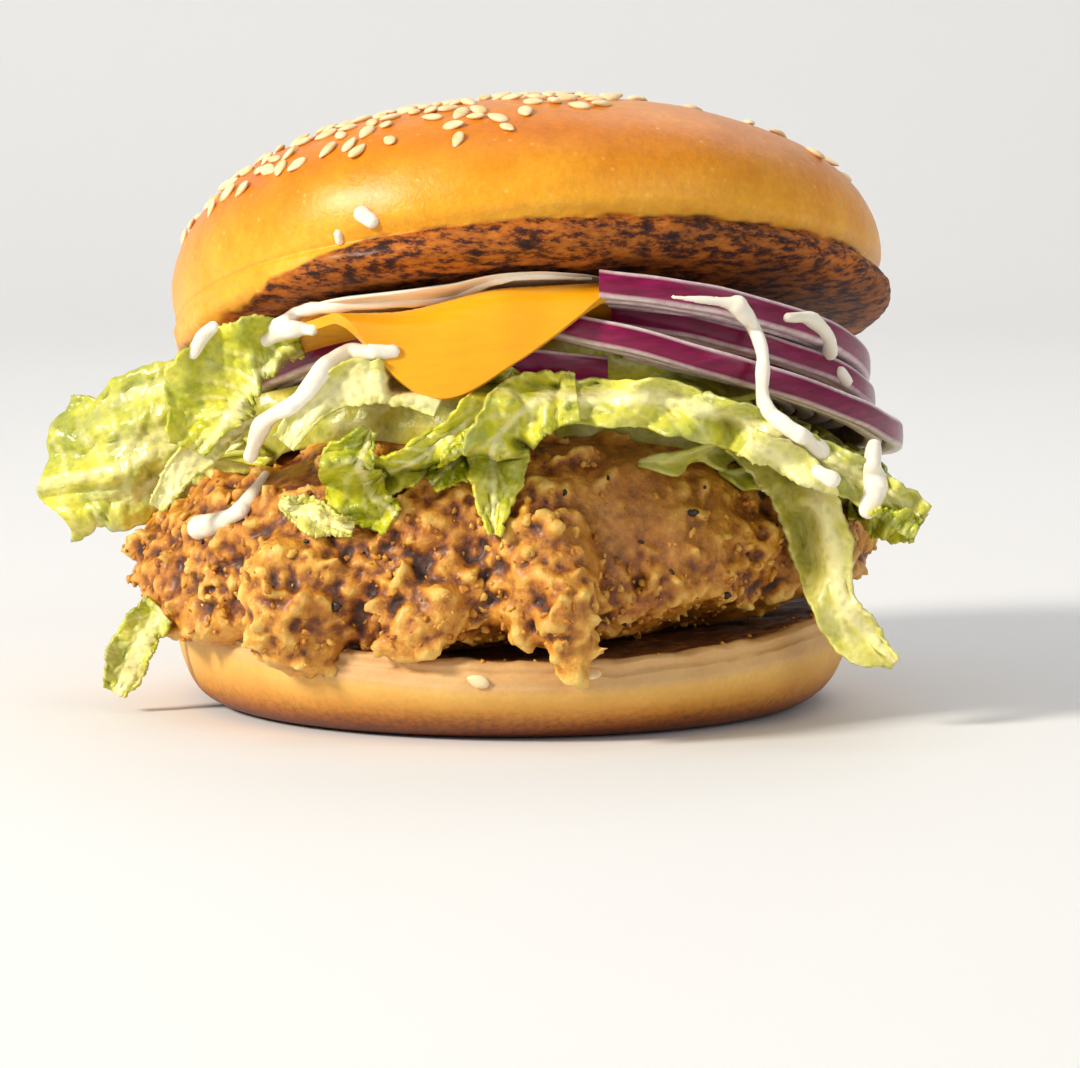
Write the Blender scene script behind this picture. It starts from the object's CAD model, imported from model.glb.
# Looks of the fried chicken burger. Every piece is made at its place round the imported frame.
import math
import random

import bpy
import numpy as np
from mathutils import Euler, Matrix, Vector, noise
from mathutils.bvhtree import BVHTree


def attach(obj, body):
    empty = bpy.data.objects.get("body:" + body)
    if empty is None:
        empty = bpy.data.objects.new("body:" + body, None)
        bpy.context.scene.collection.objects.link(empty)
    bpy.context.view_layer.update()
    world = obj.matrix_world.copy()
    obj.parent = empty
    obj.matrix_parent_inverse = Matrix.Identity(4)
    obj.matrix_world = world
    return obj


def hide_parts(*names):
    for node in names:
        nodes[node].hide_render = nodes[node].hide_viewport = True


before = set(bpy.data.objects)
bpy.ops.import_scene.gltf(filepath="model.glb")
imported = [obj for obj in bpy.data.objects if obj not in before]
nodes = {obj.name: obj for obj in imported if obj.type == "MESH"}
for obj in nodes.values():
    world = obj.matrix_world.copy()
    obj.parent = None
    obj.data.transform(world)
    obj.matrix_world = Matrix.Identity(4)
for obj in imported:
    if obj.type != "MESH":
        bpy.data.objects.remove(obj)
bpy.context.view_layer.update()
mm = 0.001
pieces = {}  # every finished piece by its name
trees = {}  # a search tree of each finished piece, for laying others on it


# Small tools

def deselectAll():
    if bpy.context.object and bpy.context.object.mode != "OBJECT":
        bpy.ops.object.mode_set(mode="OBJECT")
    bpy.ops.object.select_all(action="DESELECT")


def activate(obj):
    deselectAll()
    obj.select_set(True)
    bpy.context.view_layer.objects.active = obj


def applyModifier(obj, kind, **settings):
    modifier = obj.modifiers.new(kind.title(), kind)
    for key, value in settings.items():
        setattr(modifier, key, value)
    activate(obj)
    bpy.ops.object.modifier_apply(modifier=modifier.name)


def placeAtOrigin(obj):
    activate(obj)
    bpy.ops.object.transform_apply(location=True, rotation=True, scale=True)


def smoothShade(obj):
    activate(obj)
    bpy.ops.object.shade_smooth()


def joinAll(objects, name):
    deselectAll()
    for obj in objects:
        obj.select_set(True)
    bpy.context.view_layer.objects.active = objects[0]
    if len(objects) > 1:
        bpy.ops.object.join()
    objects[0].name = name
    return objects[0]


def sculpt(obj, move):
    for vertex in obj.data.vertices:
        vertex.co = move(vertex.co.copy())
    obj.data.update()


def paint(obj, name, values):
    layer = obj.data.attributes.get(name) or obj.data.attributes.new(name, "FLOAT", "POINT")
    layer.data.foreach_set("value", np.asarray(values, dtype=np.float32))


def copyOfNode(nodeName, name):
    made = nodes[nodeName].copy()
    made.data = nodes[nodeName].data.copy()
    made.name = name
    made.parent = None
    for key in list(made.keys()):
        del made[key]
    bpy.context.scene.collection.objects.link(made)
    activate(made)
    bpy.ops.object.mode_set(mode="EDIT")
    bpy.ops.mesh.select_all(action="SELECT")
    bpy.ops.mesh.remove_doubles(threshold=0.00001)
    bpy.ops.object.mode_set(mode="OBJECT")
    made.data.materials.clear()
    return made


def smoothStep(low, high, value):
    share = min(1.0, max(0.0, (value - low) / (high - low)))
    return share * share * (3 - 2 * share)


def along(points, share):
    # a point this share of the way along a smooth curve through the points
    last = len(points) - 1
    place = min(max(share, 0.0) * last, last - 1e-6)
    i = int(place)
    t = place - i
    p1, p2 = Vector(points[i]), Vector(points[i + 1])
    p0 = Vector(points[i - 1]) if i > 0 else p1 * 2 - p2
    p3 = Vector(points[i + 2]) if i + 2 <= last else p2 * 2 - p1
    return 0.5 * (2 * p1 + (p2 - p0) * t + (2 * p0 - 5 * p1 + 4 * p2 - p3) * t * t
                  + (3 * p1 - p0 - 3 * p2 + p3) * t ** 3)


def wobble(point, size, seed=0.0):
    # smooth noise of about -1 to 1, with bumps this many mm across
    return noise.noise(point / (size * mm) + Vector((seed, seed * 0.7, -seed)))


def relief(obj, rounds):
    # how far each point stands out of the evened surface, in metres
    mesh = obj.data
    count = len(mesh.vertices)
    places = np.zeros(count * 3)
    mesh.vertices.foreach_get("co", places)
    places = places.reshape(-1, 3)
    normals = np.zeros(count * 3)
    mesh.vertex_normals.foreach_get("vector", normals)
    edges = np.zeros(len(mesh.edges) * 2, dtype=np.int64)
    mesh.edges.foreach_get("vertices", edges)
    edges = edges.reshape(-1, 2)
    degree = np.maximum(np.bincount(edges.ravel(), minlength=count), 1)
    even = places.copy()
    for _ in range(rounds):
        total = np.zeros_like(even)
        for axis in range(3):
            total[:, axis] = np.bincount(edges[:, 0], even[edges[:, 1], axis], count)
            total[:, axis] += np.bincount(edges[:, 1], even[edges[:, 0], axis], count)
        even = 0.3 * even + 0.7 * total / degree[:, None]
    return ((places - even) * normals.reshape(-1, 3)).sum(axis=1)


def scatter(name, model, places):
    # one joined mesh with a copy of the model at each place
    corners = [v.co.copy() for v in model.data.vertices]
    faces = [tuple(p.vertices) for p in model.data.polygons]
    allCorners = []
    allFaces = []
    for place in places:
        start = len(allCorners)
        allCorners += [place @ corner for corner in corners]
        allFaces += [tuple(start + i for i in face) for face in faces]
    mesh = bpy.data.meshes.new(name)
    mesh.from_pydata(allCorners, [], allFaces)
    made = bpy.data.objects.new(name, mesh)
    bpy.context.scene.collection.objects.link(made)
    bpy.data.objects.remove(model)
    smoothShade(made)
    return made


def finishPiece(obj, name, replaced=()):
    obj.name = name
    obj.data.name = name
    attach(obj, "root")
    if replaced:
        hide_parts(*replaced)
    pieces[name] = obj
    trees[name] = BVHTree.FromPolygons([v.co for v in obj.data.vertices],
                                       [tuple(p.vertices) for p in obj.data.polygons])
    return obj


def firstHit(origin, direction, names):
    nearest = None
    for name in names:
        hit = trees[name].ray_cast(origin, direction)
        if hit[0] is not None and (nearest is None or hit[3] < nearest[1]):
            nearest = (hit[0], hit[3], hit[1])
    return nearest


# Material tools

def newMaterial(name, **settings):
    made = bpy.data.materials.new(name)
    made.use_nodes = True
    shader = made.node_tree.nodes["Principled BSDF"]
    for key, value in settings.items():
        shader.inputs[key].default_value = value
    return made, made.node_tree, shader


def coordinates(tree, kind="Object"):
    return tree.nodes.new("ShaderNodeTexCoord").outputs[kind]


def noiseOf(tree, size, detail=3.0, rough=0.5, stretch=None):
    # noise with features about this many mm across
    made = tree.nodes.new("ShaderNodeTexNoise")
    made.inputs["Scale"].default_value = 1 / (size * mm)
    made.inputs["Detail"].default_value = detail
    made.inputs["Roughness"].default_value = rough
    source = coordinates(tree)
    if stretch:
        mapping = tree.nodes.new("ShaderNodeMapping")
        mapping.inputs["Scale"].default_value = stretch
        tree.links.new(source, mapping.inputs["Vector"])
        source = mapping.outputs["Vector"]
    tree.links.new(source, made.inputs["Vector"])
    return made.outputs["Fac"]


def cellsOf(tree, size, randomness=1.0):
    made = tree.nodes.new("ShaderNodeTexVoronoi")
    made.inputs["Scale"].default_value = 1 / (size * mm)
    made.inputs["Randomness"].default_value = randomness
    tree.links.new(coordinates(tree), made.inputs["Vector"])
    return made.outputs["Distance"]


def painted(tree, name):
    made = tree.nodes.new("ShaderNodeAttribute")
    made.attribute_name = name
    return made.outputs["Fac"]


def ramp(tree, source, *stops):
    # each stop is a place and a grey or a colour
    made = tree.nodes.new("ShaderNodeValToRGB")
    elements = made.color_ramp.elements
    while len(elements) < len(stops):
        elements.new(0.5)
    for element, (place, colour) in zip(elements, stops):
        element.position = place
        element.color = (*colour, 1) if isinstance(colour, tuple) else (colour, colour, colour, 1)
    tree.links.new(source, made.inputs["Fac"])
    return made.outputs["Color"]


def mix(tree, factor, first, second, blend="MIX"):
    made = tree.nodes.new("ShaderNodeMix")
    made.data_type = "RGBA"
    made.blend_type = blend
    for socket, value in ((made.inputs[0], factor), (made.inputs[6], first), (made.inputs[7], second)):
        if isinstance(value, bpy.types.NodeSocket):
            tree.links.new(value, socket)
        else:
            socket.default_value = (*value, 1) if isinstance(value, tuple) else value
    return made.outputs[2]


def maths(tree, operation, first, second=0.5):
    made = tree.nodes.new("ShaderNodeMath")
    made.operation = operation
    for socket, value in zip(made.inputs, (first, second)):
        if isinstance(value, bpy.types.NodeSocket):
            tree.links.new(value, socket)
        else:
            socket.default_value = value
    return made.outputs[0]


def bumps(tree, shader, *layers):
    # each layer is a height, a strength and a depth in mm
    normal = None
    for height, strength, depth in layers:
        made = tree.nodes.new("ShaderNodeBump")
        made.inputs["Strength"].default_value = strength
        made.inputs["Distance"].default_value = depth * mm
        tree.links.new(height, made.inputs["Height"])
        if normal:
            tree.links.new(normal, made.inputs["Normal"])
        normal = made.outputs["Normal"]
    tree.links.new(normal, shader.inputs["Normal"])


def colourOf(tree, shader, colour):
    tree.links.new(colour, shader.inputs["Base Color"])


# The camera

cameraSettings = {"place": (4.5, -924.2, 129.1), "target": (4.5, 0, 25.4), "lens": 200}


def addCamera():
    place = Vector(cameraSettings["place"]) * mm
    towards = Vector(cameraSettings["target"]) * mm - place
    deselectAll()
    bpy.ops.object.camera_add(location=place, rotation=towards.to_track_quat("-Z", "Y").to_euler())
    camera = bpy.context.object
    camera.data.lens = cameraSettings["lens"]
    camera.data.clip_start = 0.01
    bpy.context.scene.camera = camera


# Buns: a profile of (radius, height) in mm is spun round Z and then set in place

crown = {
    "radius": 55.0, "domeHeight": 27.4, "widestAt": 4.0, "roundness": 2.25, "faceDepth": 6.0,
    "centre": (2.5, 3.0, 61.2), "tipBack": 17.5, "tipRight": 4.2, "domePoints": 44, "steps": 220,
    "underside": [(54.7, 1.9), (53.6, 0.35), (53.3, -0.3), (54.1, -1.2), (54.7, -2.8), (53.9, -4.4),
                  (51.2, -5.5), (46, -5.9), (36, -6.0), (18, -6.0), (0, -6.0)],
}
crownSeat = (Matrix.Translation(Vector(crown["centre"]) * mm)
             @ Matrix.Rotation(math.radians(-crown["tipBack"]), 4, "X")
             @ Matrix.Rotation(math.radians(-crown["tipRight"]), 4, "Y"))
heel = {
    "radius": 52.5, "footRadius": 43.0, "wallHeight": 12.0, "lip": 2.3, "steps": 220,
    "lift": {"all": 0.5, "left": 0.75, "back": 1.15, "sides": 1.65},
}


def spinProfile(name, profile, steps):
    deselectAll()
    bpy.ops.mesh.primitive_plane_add(size=mm)
    made = bpy.context.object
    made.name = name
    bpy.ops.object.mode_set(mode="EDIT")
    bpy.ops.mesh.select_all(action="SELECT")
    bpy.ops.mesh.merge(type="CENTER")
    bpy.ops.transform.translate(value=(profile[0][0] * mm, 0, profile[0][1] * mm))
    for here, following in zip(profile, profile[1:]):
        step = ((following[0] - here[0]) * mm, 0, (following[1] - here[1]) * mm)
        bpy.ops.mesh.extrude_region_move(TRANSFORM_OT_translate={"value": step})
    bpy.ops.mesh.select_all(action="SELECT")
    bpy.ops.mesh.spin(steps=steps, angle=2 * math.pi, center=(0, 0, 0), axis=(0, 0, 1))
    bpy.ops.mesh.select_all(action="SELECT")
    bpy.ops.mesh.remove_doubles(threshold=0.00001)
    bpy.ops.mesh.normals_make_consistent(inside=False)
    bpy.ops.object.mode_set(mode="OBJECT")
    placeAtOrigin(made)
    return made


def underCrown(x, y, depth=0.0):
    # height over (x, y) in mm of a surface this deep below the upper bun's cut face
    onFace = crownSeat @ Vector((0, 0, -(crown["faceDepth"] + depth) * mm))
    normal = crownSeat.to_3x3() @ Vector((0, 0, 1))
    return onFace.z / mm - (normal.x * (x - onFace.x / mm) + normal.y * (y - onFace.y / mm)) / normal.z


def fineProfile(points, count):
    return [tuple(along([(r, h, 0) for r, h in points], i / count))[:2] for i in range(count + 1)]


def makeCrown():
    dome = crown["domeHeight"] - crown["widestAt"]
    power = 2 / crown["roundness"]
    profile = []
    for step in range(crown["domePoints"] + 1):
        turn = math.radians(90 * (1 - step / crown["domePoints"]))
        radius = crown["radius"] * max(0.0, math.cos(turn)) ** power if step else 0.0
        profile.append((radius, crown["widestAt"] + dome * math.sin(turn) ** power))
    profile += fineProfile([profile[-1]] + crown["underside"], 46)[1:]
    made = spinProfile("bunCrown", profile, crown["steps"])
    toast = []
    height = []

    def move(p):
        angle = math.atan2(p.y, p.x)
        reach = math.hypot(p.x, p.y) / mm
        low = smoothStep(-0.2, -2.0, p.z / mm) if p.z < 0 else 0.0
        raggedness = noise.fractal(Vector((math.cos(angle), math.sin(angle), 0.3)) * 9, 0.6, 2.2, 5)
        wrap = smoothStep(-108, -150, math.degrees(angle)) if p.y < 0 else smoothStep(100, 160, math.degrees(angle))
        edge = 0.35 + 0.5 * raggedness - 4.9 * wrap
        toast.append(smoothStep(edge, edge - 0.6, p.z / mm))
        height.append(max(0.0, p.z / mm) / crown["domeHeight"])
        right = max(0.0, math.cos(angle)) ** 2
        stretch = 1 + 0.022 * right * low * smoothStep(40, 53, reach)
        stretch += 0.022 * wrap * smoothStep(2.0, 0.2, p.z / mm) * smoothStep(-2.6, -0.6, p.z / mm)
        stretch += 0.006 * math.sin(3 * angle + 1) + 0.004 * math.sin(5 * angle)
        stretch += 0.004 * raggedness * low * smoothStep(44, 52, reach)
        lift = 0.9 * smoothStep(0, 20, p.z / mm) * (-p.x / mm / crown["radius"]) * mm
        bump = 0.45 * wobble(p, 19) + 0.14 * wobble(p, 6) + 0.035 * wobble(p, 1.6)
        crumb = low * (0.34 * wobble(p, 3.2, 4) + 0.26 * wobble(p, 1.2, 8))
        out = Vector((p.x, p.y, p.z * 1.4)).normalized() * (bump * (1 - low) + crumb) * mm
        return crownSeat @ (Vector((p.x * stretch, p.y * stretch, p.z + lift)) + out)

    sculpt(made, move)
    paint(made, "toast", toast)
    paint(made, "height", height)
    smoothShade(made)
    made.data.materials.append(crownMaterial())
    finishPiece(made, "bunCrown", ["bun_crown"])
    print("upper bun made")


def makeHeel():
    top = heel["wallHeight"] + heel["lip"]
    points = [(0, top - 1.9), (24, top - 1.75), (40, top - 1.1), (47.2, top - 0.5), (49.5, top - 0.1),
              (50.6, top), (51.7, top - 0.5), (51.6, top - 1.6), (52.3, top - 2.3)]
    profile = fineProfile(points, 60)
    wallPoints = 30
    for step in range(1, wallPoints + 1):
        turn = math.radians(90 * (1 - step / wallPoints))
        radius = heel["footRadius"] + (heel["radius"] - heel["footRadius"]) * math.sin(turn)
        profile.append((radius, heel["wallHeight"] * (1 - math.cos(turn))))
    profile += [(38, 0), (20, 0), (0, 0)]
    made = spinProfile("bunHeel", profile, heel["steps"])
    toast = []
    foot = []

    def move(p):
        angle = math.atan2(p.y, p.x)
        reach = math.hypot(p.x, p.y) / mm
        share = min(1.0, reach / heel["radius"])
        level = p.z / mm
        inside = smoothStep(51.2, 49.0, reach) * smoothStep(9.0, 11.5, level)
        toast.append(inside)
        foot.append(smoothStep(0.0, 11.0, level))
        lift = (heel["lift"]["all"] - heel["lift"]["left"] * math.cos(angle)
                + heel["lift"]["back"] * math.sin(angle) + heel["lift"]["sides"] * math.cos(2 * angle))
        lift *= smoothStep(2.0, heel["wallHeight"], level) * share * share
        swell = 1 + 0.008 * math.sin(3 * angle + 0.6) * smoothStep(0.3, 6.0, level)
        edge = smoothStep(45, 50, reach) * smoothStep(10.5, 12.8, level)
        cutLine = 11.3 + 0.7 * noise.noise(Vector((math.cos(angle), math.sin(angle), 0)) * 5)
        groove = math.exp(-((level - cutLine) / 0.3) ** 2) * smoothStep(46, 50, reach)
        torn = noise.fractal(p / (5 * mm), 0.7, 2.1, 4)
        dent = (0.22 * wobble(p, 7) + 0.07 * wobble(p, 2)) * smoothStep(0.2, 2.0, level)
        out = Vector((math.cos(angle), math.sin(angle), 0)) * (dent + 0.35 * torn * edge - 0.55 * groove) * mm
        up = (0.42 * torn * edge + inside * (0.25 * wobble(p, 4) + 0.2 * wobble(p, 1.6))) * mm
        return Vector((p.x * swell, p.y * swell, p.z + lift * mm + up)) + out

    sculpt(made, move)
    paint(made, "toast", toast)
    paint(made, "wall", foot)
    smoothShade(made)
    made.data.materials.append(heelMaterial())
    finishPiece(made, "bunHeel", ["bun_heel"])
    print("lower bun made")


def crownMaterial():
    made, tree, shader = newMaterial("glazedCrust", Roughness=0.42)
    shader.inputs["Specular IOR Level"].default_value = 0.28
    shader.inputs["Coat Weight"].default_value = 0.12
    shader.inputs["Coat Roughness"].default_value = 0.25
    high = ramp(tree, noiseOf(tree, 18, 4, 0.6), (0.3, (0.58, 0.155, 0.001)), (0.6, (0.72, 0.232, 0.002)),
                (0.8, (0.82, 0.32, 0.006)))
    low = ramp(tree, noiseOf(tree, 9, 4, 0.6), (0.3, (0.79, 0.32, 0.005)), (0.7, (0.87, 0.44, 0.03)))
    skin = mix(tree, ramp(tree, painted(tree, "height"), (0.0, 0.0), (0.5, 1.0)), low, high)
    grain = ramp(tree, noiseOf(tree, 1.3, 4, 0.7), (0.35, 0.86), (0.65, 1.06))
    skin = mix(tree, 0.8, skin, grain, "MULTIPLY")
    flecks = ramp(tree, cellsOf(tree, 2.1), (0.07, 1.0), (0.2, 0.0))
    thinned = maths(tree, "MULTIPLY", flecks, ramp(tree, noiseOf(tree, 6), (0.46, 0.0), (0.6, 0.6)))
    skin = mix(tree, thinned, skin, (0.88, 0.52, 0.13))
    streaks = noiseOf(tree, 2.4, 5, 0.7, (0.75, 0.6, 1.9))
    burnt = ramp(tree, streaks, (0.37, (0.022, 0.004, 0.002)), (0.45, (0.10, 0.020, 0.003)),
                 (0.52, (0.35, 0.092, 0.006)), (0.72, (0.56, 0.18, 0.014)))
    patches = ramp(tree, noiseOf(tree, 14, 3, 0.5), (0.35, 0.55), (0.6, 1.1))
    burnt = mix(tree, 0.8, burnt, patches, "MULTIPLY")
    colourOf(tree, shader, mix(tree, painted(tree, "toast"), skin, burnt))
    rough = mix(tree, painted(tree, "toast"), (0.36, 0.36, 0.36), (0.8, 0.8, 0.8))
    tree.links.new(rough, shader.inputs["Roughness"])
    bumps(tree, shader, (noiseOf(tree, 0.8, 4, 0.65), 0.6, 0.2), (streaks, 0.2, 0.3),
          (noiseOf(tree, 4, 3, 0.5), 0.4, 0.6))
    return made


def heelMaterial():
    made, tree, shader = newMaterial("softCrumbCrust", Roughness=0.55)
    shader.inputs["Subsurface Weight"].default_value = 0.08
    shader.inputs["Subsurface Radius"].default_value = (0.004, 0.002, 0.001)
    side = ramp(tree, painted(tree, "wall"), (0.0, (0.17, 0.032, 0.002)), (0.12, (0.36, 0.105, 0.007)),
                (0.34, (0.62, 0.26, 0.028)), (0.66, (0.76, 0.40, 0.075)), (0.93, (0.80, 0.48, 0.12)),
                (1.0, (0.70, 0.43, 0.18)))
    grain = ramp(tree, noiseOf(tree, 1.0, 4, 0.7), (0.38, 0.45), (0.58, 1.0))
    onFoot = ramp(tree, painted(tree, "wall"), (0.12, 0.75), (0.55, 0.12))
    side = mix(tree, onFoot, side, grain, "MULTIPLY")
    blotch = ramp(tree, noiseOf(tree, 12, 3, 0.55), (0.3, (0.90, 0.80, 0.66)), (0.7, (1.04, 1.04, 1.0)))
    side = mix(tree, 0.8, side, blotch, "MULTIPLY")
    toasted = ramp(tree, noiseOf(tree, 3, 5, 0.7), (0.36, (0.05, 0.015, 0.005)), (0.52, (0.2, 0.065, 0.014)),
                   (0.7, (0.5, 0.24, 0.07)))
    colourOf(tree, shader, mix(tree, painted(tree, "toast"), side, toasted))
    bumps(tree, shader, (noiseOf(tree, 0.8, 4, 0.65), 0.35, 0.2), (noiseOf(tree, 3.5, 3, 0.5), 0.3, 0.4))
    return made


# Sesame seeds: one seed, copied over the upper bun, with two fallen on the lower bun

seeds = {"size": (1.05, 1.75, 0.5), "tries": 2800, "apart": 2.75, "seed": 4,
         "fallen": [(-4.6, 9.6), (11.9, 10.1), (9.6, 10.9)]}


def seedModel():
    deselectAll()
    bpy.ops.mesh.primitive_uv_sphere_add(segments=12, ring_count=8, radius=mm)
    made = bpy.context.object

    def move(p):
        p = p / mm
        taper = 1 - 0.32 * smoothStep(-0.2, 1.0, p.y)
        return Vector((p.x * taper * seeds["size"][0], p.y * seeds["size"][1], p.z * taper * seeds["size"][2])) * mm

    sculpt(made, move)
    return made


def makeSeeds():
    random.seed(seeds["seed"])
    spots = []
    for _ in range(seeds["tries"]):
        angle = random.uniform(-180, 180)
        reach = 54.5 * math.sqrt(random.random())
        at = Vector((reach * math.cos(math.radians(angle)), reach * math.sin(math.radians(angle)), 0))
        origin = crownSeat @ (at * mm + Vector((0, 0, 0.2)))
        down = crownSeat.to_3x3() @ Vector((0, 0, -1))
        hit = firstHit(origin, down, ["bunCrown"])
        if hit is None or reach > 52.6:
            continue
        # in front the seeds keep above a line that climbs from left to right
        x, y, z = hit[0] / mm
        line = 69.4 + 0.33 * (x + 46.5) + 0.10 * max(0.0, x + 18)
        kept = z > line and (x < 10 or z > 88.5) if y < -14 else random.random() < 0.3 - 0.003 * x
        if not kept or wobble(hit[0], 9, 2) < -0.3:
            continue
        if all((hit[0] - spot[0]).length > seeds["apart"] * mm for spot in spots):
            spots.append((hit[0], hit[2]))
    places = []
    for spot, normal in spots:
        turn = normal.to_track_quat("Z", "Y").to_matrix().to_4x4()
        lean = Euler((random.uniform(-0.22, 0.22), random.uniform(-0.2, 0.2), random.uniform(0, 6.28)))
        size = random.uniform(0.85, 1.12)
        places.append(Matrix.Translation(spot + normal * 0.28 * mm) @ turn @ lean.to_matrix().to_4x4()
                      @ Matrix.Scale(size, 4))
    for x, z in seeds["fallen"]:
        hit = firstHit(Vector(((x + 0.013) * mm, -0.2, (z + 0.017) * mm)), Vector((0, 1, 0)), ["bunHeel"])
        if hit is None:
            continue
        turn = hit[2].to_track_quat("Z", "Y").to_matrix().to_4x4()
        places.append(Matrix.Translation(hit[0] + hit[2] * 0.3 * mm) @ turn
                      @ Matrix.Rotation(1.4 + x * 0.03, 4, "Z"))
    made = scatter("sesameSeeds", seedModel(), places)
    made.data.materials.append(seedMaterial())
    finishPiece(made, "sesameSeeds")
    print("sesame seeds made:", len(places))


def seedMaterial():
    made, tree, shader = newMaterial("sesame", Roughness=0.45)
    tone = ramp(tree, noiseOf(tree, 2.5, 2, 0.5), (0.3, (0.78, 0.52, 0.22)), (0.6, (0.9, 0.71, 0.42)))
    colourOf(tree, shader, tone)
    bumps(tree, shader, (noiseOf(tree, 0.35, 2, 0.5), 0.2, 0.05))
    return made


# The fried fillet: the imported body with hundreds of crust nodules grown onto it

fillet = {"voxel": 0.68, "bodyVoxel": 1.3, "nodules": 2700, "seed": 11, "sizes": (0.8, 2.9), "flakes": 200}
crumbs = {"count": 2000, "seed": 5, "sizes": (0.32, 0.95), "fallen": 26}


def noduleModel(flatness):
    deselectAll()
    bpy.ops.mesh.primitive_ico_sphere_add(subdivisions=2, radius=mm)
    made = bpy.context.object
    sculpt(made, lambda p: Vector((p.x, p.y, p.z * flatness)) * (1 + 0.8 * wobble(p, 0.8, flatness)))
    return made


def smoothPatch(p):
    # 1 where the crust is even: the right of the middle, high on the front
    x, y, z = p / mm
    spot = math.hypot((x - 21) / 15, (z - 33) / 10)
    return smoothStep(1.25, 0.6, spot) * smoothStep(-20, -35, y)


def makeFillet():
    body = copyOfNode("chicken_fillet", "fillet")
    applyModifier(body, "REMESH", mode="VOXEL", voxel_size=fillet["bodyVoxel"] * mm)
    applyModifier(body, "SMOOTH", iterations=6, factor=0.6)

    def swell(p):
        out = Vector((p.x, p.y * 1.1, (p.z - 28 * mm) * 0.7)).normalized()
        x, y, z = p / mm
        lumps = 1.5 * wobble(p, 10, 3) + 1.1 * wobble(p, 5.5, 7)
        lower = smoothStep(27, 15, z) * smoothStep(-5, -30, y)
        hang = lower * (3.2 + 2.6 * smoothStep(-5, -25, x) - 1.4 * math.exp(-((x - 2) / 9) ** 2))
        raised = 2.0 * smoothStep(-25, -40, y) * smoothStep(38, 46, z) * smoothStep(2, 12, x) * smoothStep(48, 34, x)
        grow = lumps * (1 - 0.5 * smoothPatch(p)) - 0.3 + 1.6 * lower * smoothStep(5, -20, x)
        return p + (out * grow + Vector((0, 0, raised - hang))) * mm

    sculpt(body, swell)
    body.data.update()
    random.seed(fillet["seed"])
    spots = []
    faces = [f for f in body.data.polygons if -0.75 < f.normal.z and f.center.y < 60 * mm]
    weights = []
    for face in faces:
        top = smoothStep(0.75, 0.95, face.normal.z)
        weights.append(face.area * (1 - 0.9 * top) * (1 - 0.88 * smoothPatch(face.center)))
    rough = random.choices(faces, weights, k=fillet["nodules"] + fillet["flakes"])
    for i, face in enumerate(rough):
        low, high = fillet["sizes"]
        size = low + (high - low) * random.random() ** 2.6
        clump = 0.7 + 0.75 * max(0.0, wobble(face.center, 9, 5) + 0.2)
        normal = face.normal.copy()
        turn = Euler([random.uniform(0, 6.28) for _ in range(3)]).to_matrix().to_4x4()
        stretch = Matrix.Diagonal((random.uniform(0.6, 1.1), random.uniform(0.6, 1.25), random.uniform(0.5, 0.9), 1))
        sink = normal * random.uniform(-0.1, 0.35) * size * mm
        place = Matrix.Translation(face.center + sink) @ turn @ stretch @ Matrix.Scale(size * clump * 0.8, 4)
        spots.append(place)
    nodules = scatter("nodules", noduleModel(0.8), spots[:fillet["nodules"]])
    flakes = scatter("flakes", noduleModel(0.34), [p @ Matrix.Scale(1.5, 4) for p in spots[fillet["nodules"]:]])
    body = joinAll([body, nodules, flakes], "fillet")
    applyModifier(body, "REMESH", mode="VOXEL", voxel_size=fillet["voxel"] * mm)
    applyModifier(body, "SMOOTH", iterations=1, factor=0.4)

    def crust(p):
        out = Vector((p.x, p.y * 1.1, (p.z - 28 * mm) * 0.7)).normalized()
        even = smoothPatch(p)
        rough = 0.40 * wobble(p, 2.4, 9) + 0.34 * wobble(p, 1.2, 2)
        return p + out * rough * (1 - 0.6 * even) * mm

    sculpt(body, crust)
    keepAboveHeel(body)
    fine = relief(body, 9) / mm
    broad = relief(body, 60) / mm
    paint(body, "ridge", np.clip(0.5 + fine * 0.75 + broad * 0.17, 0, 1))
    paint(body, "even", [smoothPatch(v.co) for v in body.data.vertices])
    smoothShade(body)
    body.data.materials.append(crustMaterial())
    finishPiece(body, "friedFillet", ["chicken_fillet"])
    print("fillet made:", len(body.data.polygons), "faces")


def keepAboveHeel(obj):
    # crust that would be inside the bread is moved out to its surface
    bread = trees["bunHeel"]
    for vertex in obj.data.vertices:
        if vertex.co.z < 19 * mm:
            spot, normal, _, _ = bread.find_nearest(vertex.co)
            if (vertex.co - spot).dot(normal) < 0.1 * mm:
                vertex.co = spot + normal * 0.15 * mm
    obj.data.update()


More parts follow.
